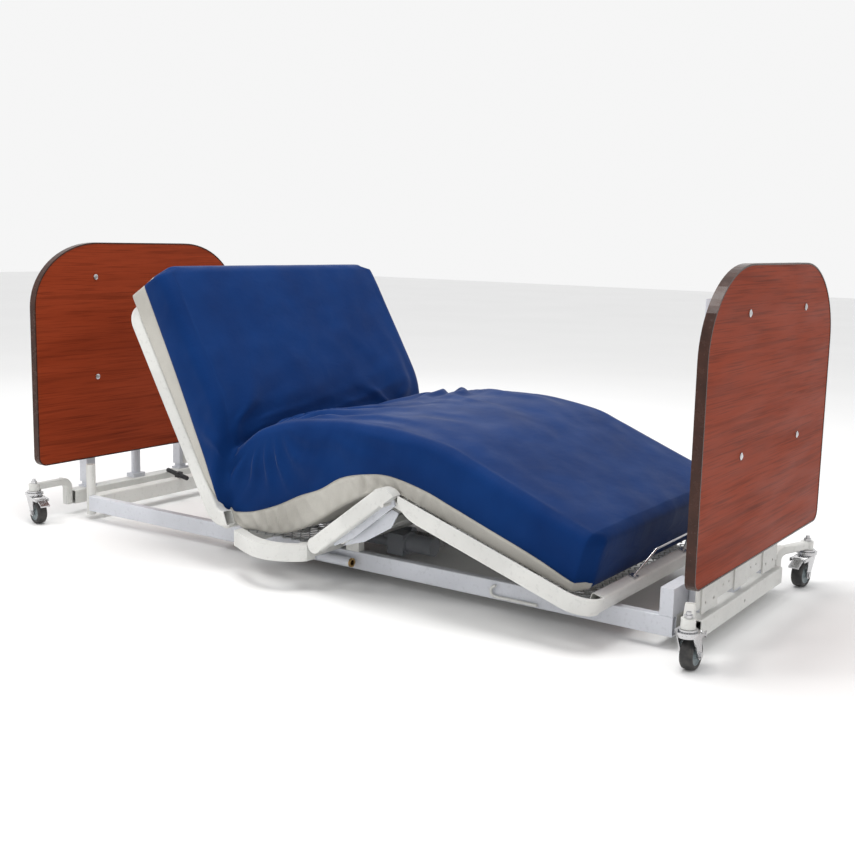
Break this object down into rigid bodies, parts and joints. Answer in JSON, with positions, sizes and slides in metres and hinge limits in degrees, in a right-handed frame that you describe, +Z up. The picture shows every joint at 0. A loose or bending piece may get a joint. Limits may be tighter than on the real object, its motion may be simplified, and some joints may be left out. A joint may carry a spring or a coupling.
{
  "type": "adjustable hospital bed",
  "caption": "Low height-adjustable hospital bed on swivel casters, with hinged back, thigh and calf sections, wooden end panels and a folding mattress.",
  "frame": {"origin": "middle of the bed's footprint, on the floor", "axes": "+X from the head end to the foot end, +Y from the near side to the far side, +Z up"},
  "size_m": [2.3155, 1.102, 0.909],
  "materials": {
    "frame_cream": "powder coat, satin, light warm grey",
    "frame_grey": "powder coat, satin, cool light grey",
    "cherry_laminate": "cherry wood-grain laminate, semi-gloss, grain across the panel",
    "dark_edge": "dark brown moulded edge band, glossy",
    "bright_steel": "zinc or chrome plated steel",
    "bushing": "plain bronze bushing, satin",
    "mesh_steel": "expanded metal, satin",
    "black_plastic": "matt black moulded plastic",
    "mattress_cover": "coated stretch nylon cover, royal blue above and beige below, slight sheen",
    "actuator_grey": "matt grey plastic housing",
    "wheel_tyre": "black rubber tread on a grey hub"
  },
  "bodies": {
    "head_base": {"head_crossbeam": "frame_cream", "head_posts": "frame_grey", "head_caster_arms": "frame_cream"},
    "foot_base": {"foot_crossbeam": "frame_cream", "foot_posts": "frame_grey", "foot_caster_arms": "frame_cream"},
    "deck_frame": {"side_rails": "frame_grey", "head_end_beam": "frame_cream", "cross_beams": "frame_cream", "lift_sleeves": "frame_grey", "foot_gussets": "frame_grey", "foot_cross_plate": "frame_cream", "end_panels": "cherry_laminate", "bearing_blocks": "frame_cream", "panel_edges": "dark_edge", "panel_bolts": "bright_steel", "panel_spacers": "frame_grey", "lift_rods": "bright_steel", "iv_sockets": "frame_cream", "assist_sockets": "frame_grey", "socket_bushings": "bushing", "bag_hooks": "frame_cream", "seat_cross_bars": "frame_cream", "seat_side_bars": "frame_cream", "seat_mesh": "mesh_steel", "cable_conduit": "black_plastic", "mattress_seat": "mattress_cover", "back_actuator": "actuator_grey", "knee_actuator": "actuator_grey", "control_box": "black_plastic"},
    "back_section": {"back_side_bars": "frame_cream", "back_end_bar": "frame_cream", "back_cross_bars": "frame_cream", "back_mesh": "mesh_steel", "mattress_back": "mattress_cover"},
    "thigh_section": {"thigh_side_bars": "frame_cream", "thigh_cross_bars": "frame_cream", "thigh_plates": "frame_grey", "thigh_mesh": "mesh_steel", "mattress_thigh": "mattress_cover"},
    "calf_section": {"calf_side_bars": "frame_cream", "calf_end_bar": "frame_cream", "calf_mesh": "mesh_steel", "mattress_retainer": "bright_steel", "mattress_calf": "mattress_cover"},
    "back_rod": {"back_rod": "bright_steel"},
    "knee_rod": {"knee_rod": "bright_steel"},
    "head_near_swivel": {"head_near_fork": "bright_steel"},
    "head_near_wheel": {"head_near_wheel": "wheel_tyre"},
    "head_near_pedal": {"head_near_pedal": "bright_steel"},
    "head_far_swivel": {"head_far_fork": "bright_steel"},
    "head_far_wheel": {"head_far_wheel": "wheel_tyre"},
    "head_far_pedal": {"head_far_pedal": "bright_steel"},
    "foot_near_swivel": {"foot_near_fork": "bright_steel"},
    "foot_near_wheel": {"foot_near_wheel": "wheel_tyre"},
    "foot_near_pedal": {"foot_near_pedal": "bright_steel"},
    "foot_far_swivel": {"foot_far_fork": "bright_steel"},
    "foot_far_wheel": {"foot_far_wheel": "wheel_tyre"},
    "foot_far_pedal": {"foot_far_pedal": "bright_steel"}
  },
  "joints": [
    {"name": "head_lift", "type": "slide", "parent": "head_base", "child": "deck_frame", "axis": [0, 0, 1], "range_m": [0, 0.55]},
    {"name": "foot_lift", "type": "slide", "parent": "deck_frame", "child": "foot_base", "axis": [0, 0, -1], "range_m": [0, 0.55]},
    {"name": "back_hinge", "type": "hinge", "parent": "deck_frame", "child": "back_section", "pos_m": [-0.259, 0, 0.132], "axis": [0, 1, 0], "range_deg": [-60, 5]},
    {"name": "thigh_hinge", "type": "hinge", "parent": "deck_frame", "child": "thigh_section", "pos_m": [0.0947, 0, 0.132], "axis": [0, -1, 0], "range_deg": [-37.5, 0]},
    {"name": "knee_hinge", "type": "hinge", "parent": "thigh_section", "child": "calf_section", "pos_m": [0.31595, 0, 0.27404], "axis": [0, -1, 0], "range_deg": [0, 56]},
    {"name": "back_actuator_stroke", "type": "slide", "parent": "deck_frame", "child": "back_rod", "axis": [-1, 0, 0], "range_m": [-0.0905, 0.0078]},
    {"name": "knee_actuator_stroke", "type": "slide", "parent": "deck_frame", "child": "knee_rod", "axis": [1, 0, 0], "range_m": [-0.0582, 0]},
    {"name": "head_near_swivel_turn", "type": "hinge", "parent": "head_base", "child": "head_near_swivel", "pos_m": [-1.128, -0.445, 0.1], "axis": [0, 0, 1], "continuous": true},
    {"name": "head_near_wheel_roll", "type": "hinge", "parent": "head_near_swivel", "child": "head_near_wheel", "pos_m": [-1.10083, -0.45177, 0.0375], "axis": [0.2419, 0.9703, 0], "continuous": true},
    {"name": "head_near_brake_pedal", "type": "hinge", "parent": "head_near_swivel", "child": "head_near_pedal", "pos_m": [-1.0756, -0.45806, 0.082], "axis": [0.2419, 0.9703, 0], "range_deg": [0, 9]},
    {"name": "head_far_swivel_turn", "type": "hinge", "parent": "head_base", "child": "head_far_swivel", "pos_m": [-1.128, 0.445, 0.1], "axis": [0, 0, 1], "continuous": true},
    {"name": "head_far_wheel_roll", "type": "hinge", "parent": "head_far_swivel", "child": "head_far_wheel", "pos_m": [-1.10083, 0.45177, 0.0375], "axis": [-0.2419, 0.9703, 0], "continuous": true},
    {"name": "head_far_brake_pedal", "type": "hinge", "parent": "head_far_swivel", "child": "head_far_pedal", "pos_m": [-1.0756, 0.45806, 0.082], "axis": [-0.2419, 0.9703, 0], "range_deg": [0, 9]},
    {"name": "foot_near_swivel_turn", "type": "hinge", "parent": "foot_base", "child": "foot_near_swivel", "pos_m": [1.129, -0.44, 0.1], "axis": [0, 0, 1], "continuous": true},
    {"name": "foot_near_wheel_roll", "type": "hinge", "parent": "foot_near_swivel", "child": "foot_near_wheel", "pos_m": [1.129, -0.412, 0.0375], "axis": [-1, 0, 0], "continuous": true},
    {"name": "foot_near_brake_pedal", "type": "hinge", "parent": "foot_near_swivel", "child": "foot_near_pedal", "pos_m": [1.129, -0.386, 0.082], "axis": [-1, 0, 0], "range_deg": [0, 9]},
    {"name": "foot_far_swivel_turn", "type": "hinge", "parent": "foot_base", "child": "foot_far_swivel", "pos_m": [1.129, 0.44, 0.1], "axis": [0, 0, 1], "continuous": true},
    {"name": "foot_far_wheel_roll", "type": "hinge", "parent": "foot_far_swivel", "child": "foot_far_wheel", "pos_m": [1.12559, 0.41221, 0.0375], "axis": [0.9925, -0.1219, 0], "continuous": true},
    {"name": "foot_far_brake_pedal", "type": "hinge", "parent": "foot_far_swivel", "child": "foot_far_pedal", "pos_m": [1.12242, 0.3864, 0.082], "axis": [0.9925, -0.1219, 0], "range_deg": [0, 9]}
  ],
  "couplings": [
    {"joint": "foot_lift", "follows": "head_lift", "ratio": 1},
    {"joint": "back_actuator_stroke", "follows": "back_hinge", "m_per_rad": 0.08594},
    {"joint": "knee_actuator_stroke", "follows": "thigh_hinge", "m_per_rad": 0.0884},
    {"joint": "knee_hinge", "follows": "thigh_hinge", "ratio": -1.48}
  ]
}
